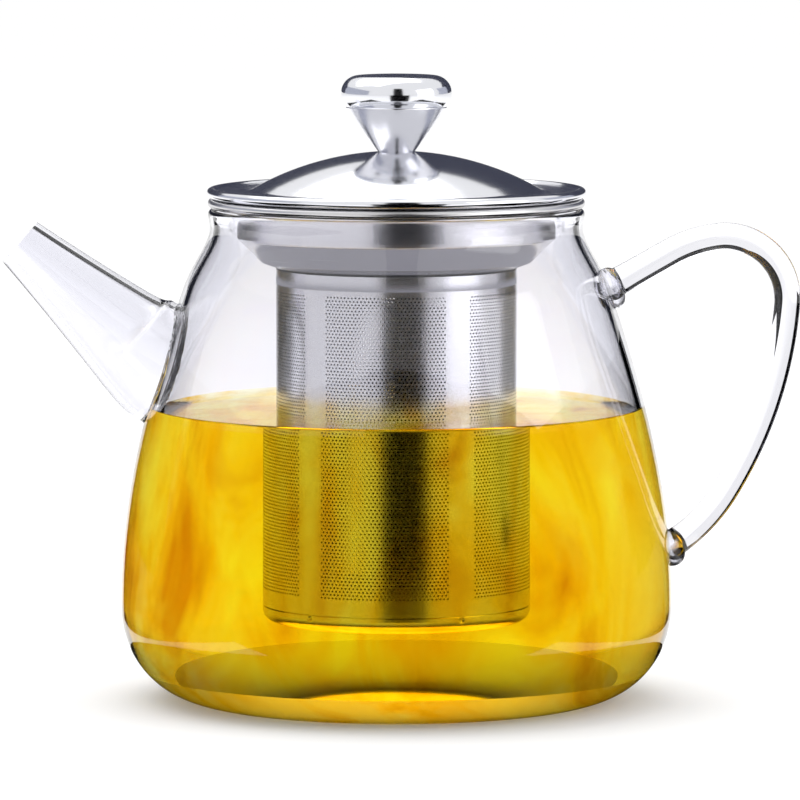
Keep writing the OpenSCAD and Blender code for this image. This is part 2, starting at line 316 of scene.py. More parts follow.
def make_piece(name, points, faces, material, sharp=40.0):
    """A smooth mesh with creases past the sharp angle, from points in millimetres and face corners."""
    mesh = bpy.data.meshes.new(name)
    corners = np.concatenate([f.ravel() for f in faces])
    sizes = np.concatenate([np.full(len(f), f.shape[1]) for f in faces])
    starts = np.concatenate([[0], np.cumsum(sizes)[:-1]])
    mesh.vertices.add(len(points))
    mesh.vertices.foreach_set("co", (np.asarray(points) * MM).astype(np.float32).ravel())
    mesh.loops.add(len(corners))
    mesh.loops.foreach_set("vertex_index", corners.astype(np.int32))
    mesh.polygons.add(len(sizes))
    mesh.polygons.foreach_set("loop_start", starts.astype(np.int32))
    mesh.polygons.foreach_set("use_smooth", np.ones(len(sizes), bool))
    mesh.update(calc_edges=True)
    mesh.set_sharp_from_angle(angle=math.radians(sharp))
    mesh.materials.append(material)
    piece = bpy.data.objects.new(name, mesh)
    bpy.context.scene.collection.objects.link(piece)
    return piece


def grid_faces(rows, columns, wrap_rows=False):
    """Quads between neighbouring rows of a grid whose columns close into a ring."""
    row = np.arange(rows if wrap_rows else rows - 1)[:, None]
    column = np.arange(columns)[None, :]
    next_row = (row + 1) % rows
    next_column = (column + 1) % columns
    corners = [
        row * columns + column,
        row * columns + next_column,
        next_row * columns + next_column,
        next_row * columns + column,
    ]
    return np.stack(corners, axis=-1).reshape(-1, 4)


def turned(profile, around=ROUND):
    """Surface of revolution about Z: a profile point (r, z) goes to (r cos a, r sin a, z).

    The profile runs up the outside. It closes on itself, unless its ends lie on the axis, where a fan
    of triangles meets each pole.
    """
    profile = np.asarray(profile, float)
    on_axis = profile[[0, -1], 0] < AXIS_R
    rings = profile[int(on_axis[0]) : len(profile) - int(on_axis[1])]
    angle = np.linspace(0, 2 * np.pi, around, endpoint=False)
    r = rings[:, 0][:, None]
    z = np.broadcast_to(rings[:, 1][:, None], (len(rings), around))
    points = np.stack([r * np.cos(angle), r * np.sin(angle), z], axis=-1).reshape(-1, 3)
    faces = [grid_faces(len(rings), around, wrap_rows=not on_axis.any())]
    ring = np.arange(around)
    after = (ring + 1) % around
    for pole, end, first, second in ((0, 0, after, ring), (1, -1, ring, after)):
        if on_axis[pole]:
            base = 0 if pole == 0 else (len(rings) - 1) * around
            tip = np.full(around, len(points))
            points = np.vstack([points, [[0, 0, profile[end, 1]]]])
            faces.append(np.stack([base + first, base + second, tip], axis=-1))
    return points, faces


def swept(centres, sideways, upward, radii, around):
    """Round tube along a path: centre + radius (cos a sideways + sin a upward), with a fan on each end."""
    angle = np.linspace(0, 2 * np.pi, around, endpoint=False)[None, :, None]
    ring = np.cos(angle) * sideways[:, None, :] + np.sin(angle) * upward[:, None, :]
    radii = np.broadcast_to(radii, (around, len(centres))).T[:, :, None]
    points = (centres[:, None, :] + radii * ring).reshape(-1, 3)
    count = len(centres)
    faces = grid_faces(count, around)
    low = np.arange(around)
    high = (low + 1) % around
    first = np.stack([high, low, np.full(around, len(points))], axis=-1)
    top = (count - 1) * around
    last = np.stack([top + low, top + high, np.full(around, len(points) + 1)], axis=-1)
    points = np.vstack([points, centres[:1], centres[-1:]])
    return points, [faces, first, last]


def cut_away(piece, cutter):
    """Takes a closed cutter out of the piece with an exact boolean, then removes the cutter."""
    modifier = piece.modifiers.new("cut", "BOOLEAN")
    modifier.operation = "DIFFERENCE"
    modifier.solver = "EXACT"
    modifier.object = cutter
    depsgraph = bpy.context.evaluated_depsgraph_get()
    cut = bpy.data.meshes.new_from_object(piece.evaluated_get(depsgraph))
    piece.modifiers.clear()
    piece.data = cut
    bpy.data.objects.remove(cutter)


# ---------------------------------------------------------------- materials

GLASS_IOR = 1.47
# Lower than water's 1.33, so that the filter looks only a little wider in the tea
TEA_IOR = 1.115
# For each metre the tea swallows the density times one minus this colour
TEA_PASSES = (0.972, 0.918, 0.0, 1.0)
TEA_DENSITY = 45.0


def linear(colour):
    """An sRGB hex colour as linear RGBA: (c + 0.055) / 1.055 to the power 2.4, or c / 12.92 when dark."""
    srgb = np.array([int(colour[i : i + 2], 16) / 255 for i in (1, 3, 5)])
    rgb = np.where(srgb <= 0.04045, srgb / 12.92, ((srgb + 0.055) / 1.055) ** 2.4)
    return (*rgb.tolist(), 1.0)


def add_node(tree, kind, settings=None, inputs=None):
    """One node with its settings, and its inputs as values or as the sockets that feed them."""
    node = tree.nodes.new(kind)
    for name, value in (settings or {}).items():
        setattr(node, name, value)
    for name, value in (inputs or {}).items():
        socket = node.inputs[name]
        if isinstance(value, bpy.types.NodeSocket):
            tree.links.new(value, socket)
        else:
            socket.default_value = value
    return node


def new_material(name):
    """An empty node material, its tree and its output node."""
    material = bpy.data.materials.new(name)
    material.use_nodes = True
    material.node_tree.nodes.clear()
    output = add_node(material.node_tree, "ShaderNodeOutputMaterial")
    return material, material.node_tree, output


def colour_ramp(tree, factor, stops):
    """A colour ramp fed by a factor, with (position, hex colour) stops."""
    ramp = add_node(tree, "ShaderNodeValToRGB", inputs={"Fac": factor})
    elements = ramp.color_ramp.elements
    while len(elements) < len(stops):
        elements.new(0.5)
    for element, (place, colour) in zip(elements, stops):
        element.position = place
        element.color = linear(colour)
    return ramp.outputs["Color"]


def borosilicate_glass(name, reflection, ripple_mm, roughness):
    """Borosilicate glass, blown and flame worked: colourless, with long soft ripples in its surface."""
    material, tree, output = new_material(name)
    place = add_node(tree, "ShaderNodeTexCoord").outputs["Object"]
    # Ripples about 25 mm long, as lampworked glass has
    ripple = add_node(tree, "ShaderNodeTexNoise", inputs={"Vector": place, "Scale": 40.0, "Detail": 1.0})
    bump = add_node(
        tree,
        "ShaderNodeBump",
        inputs={"Height": ripple.outputs["Fac"], "Strength": 0.15, "Distance": ripple_mm * MM},
    )
    shader = add_node(
        tree,
        "ShaderNodeBsdfPrincipled",
        inputs={
            "Base Color": linear("#f5f5fa"),
            "Roughness": roughness,
            "IOR": GLASS_IOR,
            "Specular Tint": linear(reflection),
            "Transmission Weight": 1.0,
            "Normal": bump.outputs["Normal"],
        },
    )
    tree.links.new(shader.outputs["BSDF"], output.inputs["Surface"])
    return material


def brewed_tea():
    """Brewed tea: clear liquor that swallows blue, with soft amber swirls where it is stronger."""
    material, tree, output = new_material("brewed_tea")
    place = add_node(tree, "ShaderNodeTexCoord").outputs["Object"]
    stretched = add_node(
        tree, "ShaderNodeMapping", inputs={"Vector": place, "Scale": (1.0, 1.0, 0.45)}
    ).outputs["Vector"]
    # Swirls about 30 mm wide, drawn out upward
    swirl = add_node(
        tree,
        "ShaderNodeTexNoise",
        inputs={"Vector": stretched, "Scale": 34.0, "Detail": 3.0, "Distortion": 1.6},
    )
    tint = colour_ramp(tree, swirl.outputs["Fac"], [(0.4, "#fffce0"), (0.57, "#f8cc50"), (0.72, "#c8781c")])
    shader = add_node(
        tree,
        "ShaderNodeBsdfPrincipled",
        inputs={
            "Base Color": tint,
            "Roughness": 0.0,
            "IOR": TEA_IOR,
            "Specular Tint": linear("#202020"),
            "Transmission Weight": 1.0,
        },
    )
    depth = add_node(
        tree,
        "ShaderNodeVolumeAbsorption",
        inputs={"Color": TEA_PASSES, "Density": TEA_DENSITY},
    )
    tree.links.new(shader.outputs["BSDF"], output.inputs["Surface"])
    tree.links.new(depth.outputs["Volume"], output.inputs["Volume"])
    return material


def steel(name, colour, roughness, line_mm, depth_mm, anisotropy=0.0):
    """Steel turned on a lathe: fine lines run round the axis, so they vary mostly with r and z."""
    material, tree, output = new_material(name)
    place = add_node(tree, "ShaderNodeTexCoord").outputs["Object"]
    split = add_node(tree, "ShaderNodeSeparateXYZ", inputs={"Vector": place})
    flat = add_node(
        tree, "ShaderNodeCombineXYZ", inputs={"X": split.outputs["X"], "Y": split.outputs["Y"]}
    )
    radius = add_node(
        tree, "ShaderNodeVectorMath", {"operation": "LENGTH"}, {0: flat.outputs["Vector"]}
    )
    angle = add_node(
        tree,
        "ShaderNodeMath",
        {"operation": "ARCTAN2"},
        {0: split.outputs["Y"], 1: split.outputs["X"]},
    )
    slow_angle = add_node(
        tree, "ShaderNodeMath", {"operation": "MULTIPLY"}, {0: angle.outputs["Value"], 1: line_mm * MM}
    )
    lathe = add_node(
        tree,
        "ShaderNodeCombineXYZ",
        inputs={
            "X": radius.outputs["Value"],
            "Y": split.outputs["Z"],
            "Z": slow_angle.outputs["Value"],
        },
    )
    lines = add_node(
        tree,
        "ShaderNodeTexNoise",
        inputs={"Vector": lathe.outputs["Vector"], "Scale": 1 / (line_mm * MM), "Detail": 3.0},
    )
    bump = add_node(
        tree,
        "ShaderNodeBump",
        inputs={"Height": lines.outputs["Fac"], "Strength": 0.5, "Distance": depth_mm * MM},
    )
    finish = add_node(
        tree,
        "ShaderNodeMapRange",
        inputs={
            "Value": lines.outputs["Fac"],
            "To Min": roughness * 0.8,
            "To Max": roughness * 1.25,
        },
    )
    tangent = add_node(tree, "ShaderNodeTangent", {"direction_type": "RADIAL", "axis": "Z"})
    shader = add_node(
        tree,
        "ShaderNodeBsdfPrincipled",
        inputs={
            "Base Color": linear(colour),
            "Metallic": 1.0,
            "Roughness": finish.outputs["Result"],
            "Anisotropic": anisotropy,
            "Tangent": tangent.outputs["Tangent"],
            "Normal": bump.outputs["Normal"],
        },
    )
    tree.links.new(shader.outputs["BSDF"], output.inputs["Surface"])
    return material


def plain_surface(name, colour, roughness, glow=0.0):
    """A matt surface for the floor and the cards, which may glow: evenly on the floor; on the yellow disc
    it is painted light, on the grey ring a painted reflection.
    """
    material, tree, output = new_material(name)
    tone = linear(colour)
    shader = add_node(
        tree,
        "ShaderNodeBsdfPrincipled",
        inputs={
            "Base Color": tone,
            "Roughness": roughness,
            "Specular IOR Level": 0.0,
            "Emission Color": tone,
            "Emission Strength": glow,
        },
    )
    tree.links.new(shader.outputs["BSDF"], output.inputs["Surface"])
    return material


GLASS = borosilicate_glass("borosilicate_glass", "#ffffff", 0.3, 0.0)
# Where tea wets the glass the two bend light nearly alike, so their border hardly reflects
WET_GLASS = borosilicate_glass("borosilicate_glass_wetted", "#202020", 0.3, 0.0)
# The inside of the foot, rough and uneven, which blurs what is seen through it
BASE_GLASS = borosilicate_glass("borosilicate_glass_base", "#ffffff", 2.0, 0.42)
TEA = brewed_tea()
# Cold rolled 304 sheet, brushed round the axis: soft vertical streaks of light
BRUSHED = steel("brushed_stainless", "#d3d2d4", 0.24, 0.25, 0.006, 0.55)
# Perforated 304 sheet with a satin mill finish
PERFORATED = steel("satin_perforated_stainless", "#d0d0d3", 0.22, 0.3, 0.004, 0.4)
# The inner face and the hole walls: rougher steel, painted dark as shade inside the tube and in its holes
PICKLED = steel("stainless_inside_painted_shade", "#56565a", 0.4, 0.3, 0.006)
# Spun 304 sheet, buffed to a mirror
POLISHED = steel("mirror_polished_stainless", "#e4e5ea", 0.12, 0.5, 0.0008, 0.25)
# The same steel rubbed to a satin, on the knob
SATIN = steel("satin_polished_stainless", "#e2e2e7", 0.2, 0.4, 0.003, 0.5)
# Turned steel fasteners, zinc plated and left plain
FASTENER = steel("plain_zinc_plated_steel", "#9d9b96", 0.38, 0.3, 0.01)


# ---------------------------------------------------------------- camera, floor and light, in metres

CAMERA_AT = (0.0009, -1.7, 0.238)
CAMERA_TARGET = (0.0009, 0.0, 0.0749)
LENS_MM = 307.4
SENSOR_MM = 36.0
VIEW_TO = 20.0

FLOOR_HALF = 6.0
FRONT_CARD_Y = -0.17
FRONT_CARD_TOP = 0.15
# The painted-light disc, the apron and the painted-reflection ring lie round the pot's axis
GLOW_R = 0.045
GLOW_Z = 0.0002
APRON_R = (0.0478, 0.1)
APRON_Z = 0.0005
PALE_RING_R = (0.031, 0.043)
PALE_RING_Z = 0.104
FENCE_X = 0.11
FENCE_Y = (-0.08, 0.12)
FENCE_TOP = 0.098
# The walls of the small studio, and the heights at which its cards start and end
WALL = 0.6
STRIP_Z = (0.14, 0.42)
FLAG_TOP = 0.6
WINDOW_X = 0.26
WINDOW_TOP = 0.36
HEAD_X = 1.2
HEAD_TOP = 0.9
WING_X = 0.5


def aim(item, place, target):
    """Puts a camera or light at a place and turns its -Z towards the target, in metres."""
    turn = (Vector(target) - Vector(place)).to_track_quat("-Z", "Y")
    item.location = place
    item.rotation_euler = turn.to_euler()


def make_camera():
    """A long lens from in front and 5.5 degrees above."""
    data = bpy.data.cameras.new("camera")
    data.lens = LENS_MM
    data.sensor_width = SENSOR_MM
    data.clip_end = VIEW_TO
    camera = bpy.data.objects.new("camera", data)
    bpy.context.scene.collection.objects.link(camera)
    aim(camera, CAMERA_AT, CAMERA_TARGET)
    bpy.context.scene.camera = camera


def make_world():
    """An even white surround."""
    world = bpy.data.worlds.new("white_surround")
    world.use_nodes = True
    background = world.node_tree.nodes["Background"]
    background.inputs["Color"].default_value = linear("#ffffff")
    background.inputs["Strength"].default_value = 1.0
    bpy.context.scene.world = world


def card(name, corners, material, for_steel=True, for_glass=True, faces=None):
    """A flat card hidden from the camera: mirrors find it, or rays that came through glass, or both."""
    faces = faces or [np.arange(len(corners))[None, :]]
    piece = make_piece(name, np.array(corners, float) / MM, faces, material)
    piece.visible_camera = False
    piece.visible_diffuse = False
    piece.visible_shadow = False
    piece.visible_glossy = for_steel
    piece.visible_transmission = for_glass


def upright(x_low, x_high, y, z_low, z_high):
    """Corners of an upright card that faces along Y."""
    return [(x_low, y, z_low), (x_high, y, z_low), (x_high, y, z_high), (x_low, y, z_high)]


def sideways(x, y_low, y_high, z_low, z_high):
    """Corners of an upright card that faces along X."""
    return [(x, y_low, z_low), (x, y_high, z_low), (x, y_high, z_high), (x, y_low, z_high)]


def ring(inner_r, outer_r, z, around=96):
    """Corners and faces of a flat ring about Z: r cos a and r sin a at its two radii."""
    circle = arc([0, 0], 1.0, 0, 360, around)[:-1]
    flat = np.vstack([circle * inner_r, circle * outer_r])
    return np.column_stack([flat, np.full(len(flat), z)]), [grid_faces(2, around)]


def softbox(name, place, target, size, radiance):
    """A soft light panel, placed and aimed in metres: its power is radiance times pi times its area."""
    data = bpy.data.lights.new(name, "AREA")
    data.shape = "RECTANGLE"
    data.size, data.size_y = size
    data.energy = radiance * math.pi * size[0] * size[1]
    light = bpy.data.objects.new(name, data)
    bpy.context.scene.collection.objects.link(light)
    aim(light, place, target)
    light.visible_camera = False


def make_stage():
    """White floor, cards that draw the edges of the glass and the bands in the steel, and softboxes."""
    white = plain_surface("opal_acrylic_table", "#f0f0f0", 0.6, 0.15)
    # Yellow glow: painted light under the pot
    lit = plain_surface("painted_tea_light_glow", "#f6d548", 0.6, 3.0)
    grey = plain_surface("grey_card", "#a9acb8", 0.9)
    # Grey glow: a painted reflection for the collar's cone
    haze = plain_surface("painted_reflection_glow_card", "#b8b8be", 0.9, 0.5)
    black = plain_surface("black_card", "#040405", 0.9)
    slate = plain_surface("slate_card", "#3c3e4b", 0.9)
    square = np.array([(-1, -1), (1, -1), (1, 1), (-1, 1)]) * FLOOR_HALF
    corners = np.column_stack([square, np.full(4, FLOOR_Z)])
    floor = make_piece("floor", corners / MM, [np.arange(4)[None, :]], white)

    # In front, a dark card that the steel mirrors and that light through the glass meets
    card("front_card", upright(-0.038, 0.085, FRONT_CARD_Y, 0.0, FRONT_CARD_TOP), black)
    card(
        "front_upper_card",
        upright(-0.018, 0.04, FRONT_CARD_Y, FRONT_CARD_TOP, 0.3),
        black,
        for_glass=False,
    )
    # Under the pot, a glowing yellow disc: painted light standing in for the light that the tea lets
    # through, seen through the glass and mirrored in the steel
    pad = arc([0, 0], GLOW_R, 0, 360, 64)[:-1]
    card("painted_tea_light_disc", np.column_stack([pad, np.full(len(pad), GLOW_Z)]), lit)
    # Under the collar, inside the pot, a glowing pale ring that only the steel mirrors: a painted
    # reflection that keeps the cone neutral
    corners, faces = ring(*PALE_RING_R, PALE_RING_Z)
    card("painted_reflection_ring", corners, haze, for_glass=False, faces=faces)
    # Low fence and apron round the pot, which keep white off the outside of the glass
    card("fence_front", upright(-FENCE_X, FENCE_X, FENCE_Y[0], 0.0, FENCE_TOP), black, for_glass=False)
    corners, faces = ring(*APRON_R, APRON_Z)
    card("apron", corners, black, for_glass=False, faces=faces)
    # At the sides, mirrored in the knob
    card("side_left", sideways(-WALL, -0.35, WALL, *STRIP_Z), grey, for_glass=False)
    card("side_right", sideways(WALL, 0.1, WALL, *STRIP_Z), grey, for_glass=False)
    # Behind, mirrored in the lid: a strip all across, and a tall part on the right
    card("back_strip", upright(-0.9, 0.02, WALL, *STRIP_Z), slate, for_glass=False)
    card("back_right_flag", upright(0.02, 0.9, WALL, STRIP_Z[0], FLAG_TOP), slate, for_glass=False)
    # Behind, round a white window, so that bent light finds black and the glass has dark edges
    for side, name in ((-1, "left"), (1, "right")):
        fence = sideways(side * FENCE_X, *FENCE_Y, 0.0, FENCE_TOP)
        card("fence_" + name, fence, black, for_glass=False)
        head_x = sorted((0.0, side * HEAD_X))
        card("head_" + name, upright(*head_x, WALL, WINDOW_TOP, HEAD_TOP), black, for_steel=False)
        window_x = sorted((side * WINDOW_X, side * HEAD_X))
        card("window_" + name, upright(*window_x, WALL, 0.0, WINDOW_TOP), black, for_steel=False)
        wing = sideways(side * WING_X, 0.26, WALL, 0.0, HEAD_TOP)
        card("wing_" + name, wing, black, for_steel=False)

    softbox("front_right_softbox", (0.75, -0.35, 0.25), (0, 0, 0.1), (0.55, 0.7), 1.5)
    softbox("top_softbox", (-0.3, 0.3, 1.1), (-0.1, 0, 0.1), (1.4, 1.1), 1.4)


# ---------------------------------------------------------------- glass pieces


def spout_r(s):
    """Outer radius of the spout at each angle and distance: the mouth's, a taper and a square flare.

    A fillet on the upper side and a tuck on the lower side both grow exponentially towards the pot.
    """
    side = np.sin(np.linspace(0, 2 * np.pi, SPOUT_ROUND, endpoint=False))[:, None]
    lift = SPOUT_LIFT * np.exp((np.minimum(s, SPOUT_LIFT_AT) - SPOUT_LIFT_AT) / SPOUT_LIFT_L)
    tuck = SPOUT_TUCK * np.exp((np.minimum(s, SPOUT_TUCK_AT) - SPOUT_TUCK_AT) / SPOUT_TUCK_L)
    straight = SPOUT_MOUTH_R + SPOUT_TAPER * s + SPOUT_FLARE * s**2
    return straight + lift * (1 + side) / 2 - tuck * (1 - side) / 2


def along_spout(s, radii):
    """Round sections square to the spout's axis, at distances down it from the mouth."""
    rise = math.radians(SPOUT_RISE)
    down = np.array([math.cos(rise), 0, -math.sin(rise)])
    centres = np.array([SPOUT_MOUTH[0], 0, SPOUT_MOUTH[1]]) + s[:, None] * down
    sideways = np.tile([0.0, 1.0, 0.0], (len(s), 1))
    upward = np.tile([math.sin(rise), 0.0, math.cos(rise)], (len(s), 1))
    return swept(centres, sideways, upward, radii, SPOUT_ROUND)


def spout_bore(start):
    """The spout's inside as a solid, from a distance down its axis to past the pot's wall."""
    s = np.linspace(start, SPOUT_MEETS + BORE_BEYOND, SPOUT_STATIONS)
    radii = spout_r(np.clip(s, 0, None)) - SPOUT_WALL
    return make_piece("spout_bore", *along_spout(s, radii), GLASS)


def make_body():
    """Blown body: outline, round lip and lining, turned about Z, with the spout's hole cut out."""
    lip = arc([LIP_R - GLASS_WALL / 2, LIP_SIDE_Z], GLASS_WALL / 2, 0, 180, 12)[1:-1]
    lining = moved(OUTLINE, GLASS_WALL)
    profile = np.vstack([[[0, 0]], OUTLINE, lip, lining[::-1], [[0, GLASS_WALL]]])
    body = make_piece("blown_body", *turned(profile), GLASS)
    body.data.materials.append(WET_GLASS)
    body.data.materials.append(BASE_GLASS)
    cut_away(body, spout_bore(SPOUT_MEETS - BORE_INSIDE))
    wet_lining(body)
    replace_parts(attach(body, "pot"), "glass_body")


def wet_lining(body):
    """Gives the lining below the tea its wetted finish, and the inside of the foot its own.

    A face belongs to the lining when it lies nearer the lining than the outline.
    """
    count = len(body.data.polygons)
    centres = np.zeros(count * 3)
    body.data.polygons.foreach_get("center", centres)
    centres = centres.reshape(-1, 3) / MM
    radius = np.hypot(centres[:, 0], centres[:, 1])
    lining = moved(OUTLINE, GLASS_WALL)
    middle_r = (body_r(centres[:, 2]) + np.interp(centres[:, 2], lining[:, 1], lining[:, 0])) / 2
    floor_z = INSIDE_FROM * GLASS_WALL
    wet = (centres[:, 2] > floor_z) & (centres[:, 2] < TEA_LEVEL) & (radius < middle_r)
    base = wet & (centres[:, 2] < BASE_UNEVEN_TO)
    body.data.polygons.foreach_set("material_index", wet.astype(np.int32) + base)


def make_spout():
    """Spout: a round tube whose section grows towards the pot, trimmed to the body's outer side."""
    s = np.linspace(0, SPOUT_MEETS + TUBE_BEYOND, SPOUT_STATIONS)
    outer = make_piece("spout_tube", *along_spout(s, spout_r(s)), GLASS)
    cut_away(outer, spout_bore(-BORE_BEFORE_MOUTH))
    side = moved(OUTLINE, FUSE)
    filled = np.vstack([[[0, FUSE]], side, [[0, side[-1, 1]]]])
    pot = make_piece("pot_volume", *turned(filled), GLASS)
    cut_away(outer, pot)
    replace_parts(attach(outer, "pot"), "spout")


def bend(start, heading, radius, turn, steps):
    """Stations (x, z, heading) along a clockwise bend, without its start."""
    t = np.linspace(0, turn, steps + 1)[1:]
    a = np.radians(heading)
    b = np.radians(heading - t)
    x = start[0] + radius * (np.sin(a) - np.sin(b))
    z = start[1] + radius * (np.cos(b) - np.cos(a))
    return np.stack([x, z, heading - t], axis=1)


def handle_stations():
    """Straight run, top bend, corner, long sweep, and a last bend that lands on the lower root."""
    start = np.array([SHOULDER_R - ROOT_SINK, SHOULDER_Z])
    top_heading = ROD_RISE - TOP_BEND[1]
    corner_heading = top_heading - CORNER_BEND[1]
    sin_top = math.sin(math.radians(top_heading))
    sin_rise = math.sin(math.radians(ROD_RISE))
    bends_out = TOP_BEND[0] * (sin_rise - sin_top) + CORNER_BEND[0] * (sin_top + 1)
    run = (BELLY_R + HANDLE_OUT - start[0] - bends_out) / math.cos(math.radians(ROD_RISE))
    rise = math.radians(ROD_RISE)
    straight = start + np.linspace(0, run, 8)[:, None] * np.array([math.cos(rise), math.sin(rise)])
    straight = np.column_stack([straight, np.full(8, ROD_RISE)])
    top = bend(straight[-1], ROD_RISE, *TOP_BEND, 16)
    corner = bend(top[-1], top_heading, *CORNER_BEND, 40)
    sweep_heading = corner_heading - SWEEP_TURN
    sweep_drop = corner[-1, 1] - LOWER_ROOT_Z - LAST_BEND_H
    cos_gap = math.cos(math.radians(corner_heading)) - math.cos(math.radians(sweep_heading))
    sweep = bend(corner[-1], corner_heading, sweep_drop / cos_gap, SWEEP_TURN, 24)
    root = np.array([body_r(LOWER_ROOT_Z) - ROOT_SINK, LOWER_ROOT_Z])
    chord = root - sweep[-1, :2]
    turn = 2 * (sweep_heading - math.degrees(math.atan2(chord[1], chord[0])))
    radius = math.hypot(*chord) / (2 * math.sin(math.radians(turn) / 2))
    last = bend(sweep[-1], sweep_heading, radius, turn, 16)
    return np.vstack([straight, top, corner, sweep, last])


def make_handle():
    """Handle: a round rod swept along its stations, a little thicker towards its two hot joints."""
    stations = handle_stations()
    heading = np.radians(stations[:, 2])
    zero = np.zeros(len(stations))
    centres = np.stack([stations[:, 0], zero, stations[:, 1]], axis=1)
    sideways = np.stack([zero, zero + 1, zero], axis=1)
    upward = np.stack([-np.sin(heading), zero, np.cos(heading)], axis=1)
    length = np.concatenate([[0], np.cumsum(np.linalg.norm(np.diff(centres, axis=0), axis=1))])
    from_end = np.minimum(length, length[-1] - length)
    radii = ROD_R * (1 + ROD_SWELL * np.exp(-from_end / ROD_SWELL_L))
    rod = make_piece("handle_rod", *swept(centres, sideways, upward, radii, ROD_ROUND), GLASS)
    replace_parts(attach(rod, "pot"), "handle")


def make_button(name, centre, lean_degrees, radius, half_height, node):
    """Squashed round button: a superellipse of one power, turned about its own axis and leaned."""
    angle = np.radians(np.linspace(-90, 90, 25))
    flat = np.abs(np.cos(angle)) ** (2 / BUTTON_POWER)
    high = np.sign(np.sin(angle)) * np.abs(np.sin(angle)) ** (2 / BUTTON_POWER)
    flat[[0, -1]] = 0
    points, faces = turned(np.stack([flat * radius, high * half_height], axis=1), BUTTON_ROUND)
    lean = math.radians(lean_degrees)
    cos, sin = math.cos(lean), math.sin(lean)
    turn = np.array([[cos, 0, sin], [0, 1, 0], [-sin, 0, cos]])
    points = points @ turn.T + np.array([centre[0], 0, centre[1]])
    button = make_piece(name, points, faces, GLASS)
    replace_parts(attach(button, "pot"), node)


def make_tea():
    """Tea: fills the lining to its level, with a meniscus as exp(-distance / width) at the glass."""
    side = moved(OUTLINE, GLASS_WALL - TEA_INTO_GLASS)
    edge_z = TEA_LEVEL + MENISCUS_H
    edge_r = np.interp(edge_z, side[:, 1], side[:, 0])
    below = side[side[:, 1] < edge_z]
    fine = np.linspace(0, MENISCUS_GRID, 24)[:-1]
    inward = np.concatenate([fine, np.linspace(MENISCUS_GRID, edge_r - 1, 20)])
    top = np.stack([edge_r - inward, TEA_LEVEL + MENISCUS_H * np.exp(-inward / MENISCUS_W)], axis=1)
    profile = np.vstack([[[0, below[0, 1]]], below, top, [[0, TEA_LEVEL]]])
    tea = make_piece("tea", *turned(profile), TEA)
    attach(tea, "pot")


# ---------------------------------------------------------------- steel pieces


def make_turned(name, profile, material, body, node, sharp=40.0):
    """A turned steel piece that stands for its CAD node."""
    piece = make_piece(name, *turned(profile), material, sharp)
    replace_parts(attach(piece, body), node)


def rolled_edge(centre, middle_r):
    """Middle line of an edge curled outward and under: three quarters of a circle, ending on its top."""
    return arc(centre, middle_r, -190, 90, 28)


def make_collar():
    """Infuser collar: rolled rim, flat flange, upright wall, cone, and a ledge that holds the tube."""
    middle_r = ROLL_R - SHEET_T / 2
    roll = rolled_edge([RIM_R - ROLL_R, ROLL_Z], middle_r)
    wall_r = COLLAR_R - SHEET_T / 2
    low_z = ROLL_Z - COLLAR_DEPTH
    cone_z = low_z - CONE_H
    ledge_z = cone_z - LEDGE_H
    neck_r = TUBE_R - TUBE_WALL - SHEET_T / 2
    corners = [
        [RIM_R - ROLL_R, ROLL_Z + middle_r],
        [wall_r, ROLL_Z + middle_r],
        [wall_r, low_z],
        [TUBE_R + LEDGE_W - SHEET_T / 2, cone_z],
        [neck_r, ledge_z],
        [neck_r, ledge_z - COLLAR_NECK_H],
    ]
    line = rounded(corners, COLLAR_FOLDS)
    profile = sheet(np.vstack([roll, line[1:]]))
    make_turned("collar", profile, BRUSHED, "infuser", "infuser_collar", 50.0)


